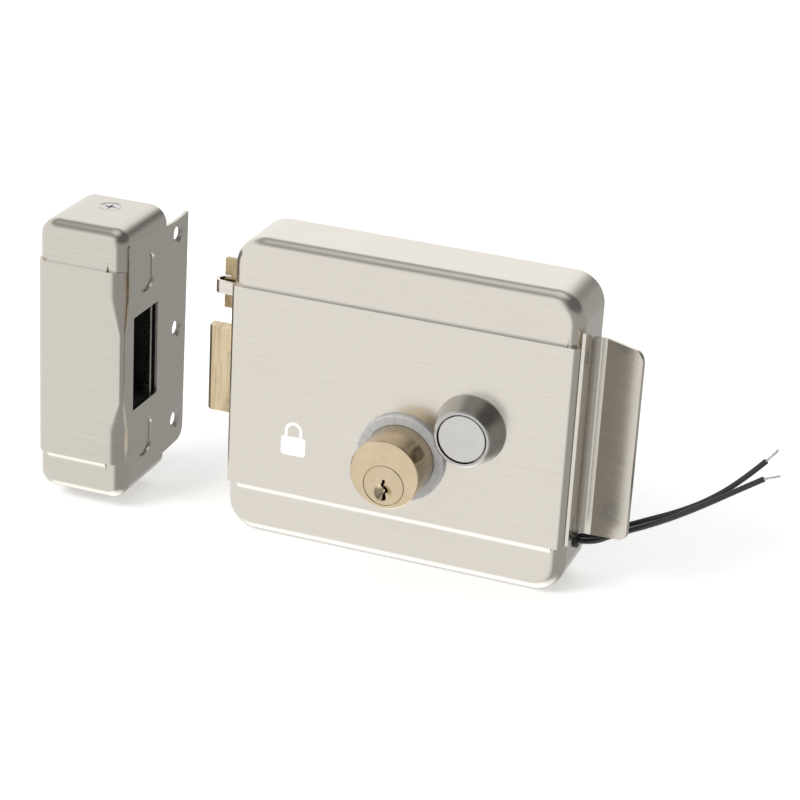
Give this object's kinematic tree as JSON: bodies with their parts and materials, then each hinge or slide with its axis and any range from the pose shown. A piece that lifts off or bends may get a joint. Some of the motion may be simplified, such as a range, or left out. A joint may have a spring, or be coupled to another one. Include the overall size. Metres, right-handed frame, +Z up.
{
  "type": "electric rim lock with strike box",
  "caption": "Surface-mounted electric rim lock with brass cylinder, exit button, latch bolt, pull handle and short lead, beside its slotted steel strike box.",
  "frame": {"origin": "centre of the lock's back mounting face, at the centre of its four door screws", "axes": "+X along the door towards the pull handle, away from the strike; +Y into the door, square to the mounting face; +Z up"},
  "size_m": [0.2661, 0.0622, 0.1108],
  "materials": {
    "satin_nickel": "satin nickel plated, brushed along X",
    "steel_inner": "zinc plated sheet",
    "bright_screws": "nickel plated",
    "bright_strip": "bright rolled strip",
    "satin_brass": "satin turned brass",
    "raw_brass": "milled brass, stained",
    "clear_ring": "clear moulded plastic",
    "turned_steel": "turned, polished lip",
    "cap_alloy": "satin",
    "spring_steel": "drawn wire",
    "solenoid_iron": "zinc plated iron",
    "bobbin_nylon": "moulded nylon",
    "coil_copper": "enamelled copper wire",
    "terminal_green": "moulded",
    "black_rubber": "soft black",
    "wire_pvc": "black insulation, slightly glossy",
    "tinned_copper": "tinned strands",
    "black_keeper": "black coated sheet"
  },
  "bodies": {
    "lock_case": {"back_plate": "steel_inner", "front_cover": "satin_nickel", "cover_screws": "bright_screws", "pull_handle": "satin_nickel", "handle_screws": "bright_screws", "cylinder_body": "satin_brass", "cylinder_ring": "clear_ring", "cylinder_clip": "steel_inner", "driver_pins": "satin_brass", "pin_springs": "spring_steel", "button_collar": "turned_steel", "collar_nut": "steel_inner", "guide_posts": "steel_inner", "spring_stop": "steel_inner", "trigger_post": "steel_inner", "trigger_stop": "steel_inner", "solenoid_yoke": "solenoid_iron", "coil_bobbin": "bobbin_nylon", "coil_winding": "coil_copper", "lever_pivot": "steel_inner", "terminal_block": "terminal_green", "terminal_screws": "bright_screws", "wire_grommet": "black_rubber", "inner_leads": "wire_pvc", "wire_rear": "wire_pvc", "wire_front": "wire_pvc", "wire_cores": "tinned_copper", "bolt_spring": "spring_steel", "trigger_spring": "spring_steel", "button_spring": "spring_steel"},
    "bolt_unit": {"latch_bolt": "raw_brass", "bolt_rivets": "bright_screws", "bolt_carriage": "steel_inner"},
    "key_unit": {"cylinder_plug": "satin_brass", "key_pins": "satin_brass", "cam": "satin_brass"},
    "button": {"button_cap": "cap_alloy"},
    "trigger_unit": {"trigger_plate": "raw_brass", "trigger_loop": "bright_strip", "trigger_rivet": "bright_strip"},
    "plunger_unit": {"plunger": "solenoid_iron"},
    "lever": {"release_lever": "steel_inner"},
    "strike_unit": {"strike_shell": "satin_nickel", "strike_plate": "steel_inner", "strike_screws": "bright_screws", "strike_keeper": "black_keeper", "keeper_bar": "bright_screws"}
  },
  "joints": [
    {"name": "bolt_slide", "type": "slide", "parent": "lock_case", "child": "bolt_unit", "axis": [1, 0, 0], "range_m": [0, 0.012], "stiffness_N_per_m": 300, "springref_m": -0.006, "deforming": ["bolt_spring"]},
    {"name": "key_turn", "type": "hinge", "parent": "lock_case", "child": "key_unit", "pos_m": [0.0029, -0.0137, -0.0177], "axis": [0, 1, 0], "range_deg": [0, 60]},
    {"name": "trigger_slide", "type": "slide", "parent": "lock_case", "child": "trigger_unit", "axis": [1, 0, 0], "range_m": [0, 0.005], "stiffness_N_per_m": 250, "springref_m": -0.004, "deforming": ["trigger_spring"]},
    {"name": "button_press", "type": "slide", "parent": "lock_case", "child": "button", "axis": [0, 1, 0], "range_m": [0, 0.0035], "stiffness_N_per_m": 500, "springref_m": -0.003, "deforming": ["button_spring"]},
    {"name": "lever_turn", "type": "hinge", "parent": "lock_case", "child": "lever", "pos_m": [0.014, -0.0157, 0.015], "axis": [0, 1, 0], "range_deg": [0, 22.2]},
    {"name": "plunger_pull", "type": "slide", "parent": "lock_case", "child": "plunger_unit", "axis": [1, 0, 0], "range_m": [0, 0.005]},
    {"name": "strike_approach", "type": "slide", "parent": "lock_case", "child": "strike_unit", "axis": [1, 0, 0], "range_m": [0, 0.025]}
  ],
  "couplings": [
    {"joint": "key_turn", "follows": "bolt_slide", "rad_per_m": 87.26},
    {"joint": "lever_turn", "follows": "button_press", "rad_per_m": 110.6},
    {"joint": "plunger_pull", "follows": "button_press", "ratio": 1.4285}
  ]
}
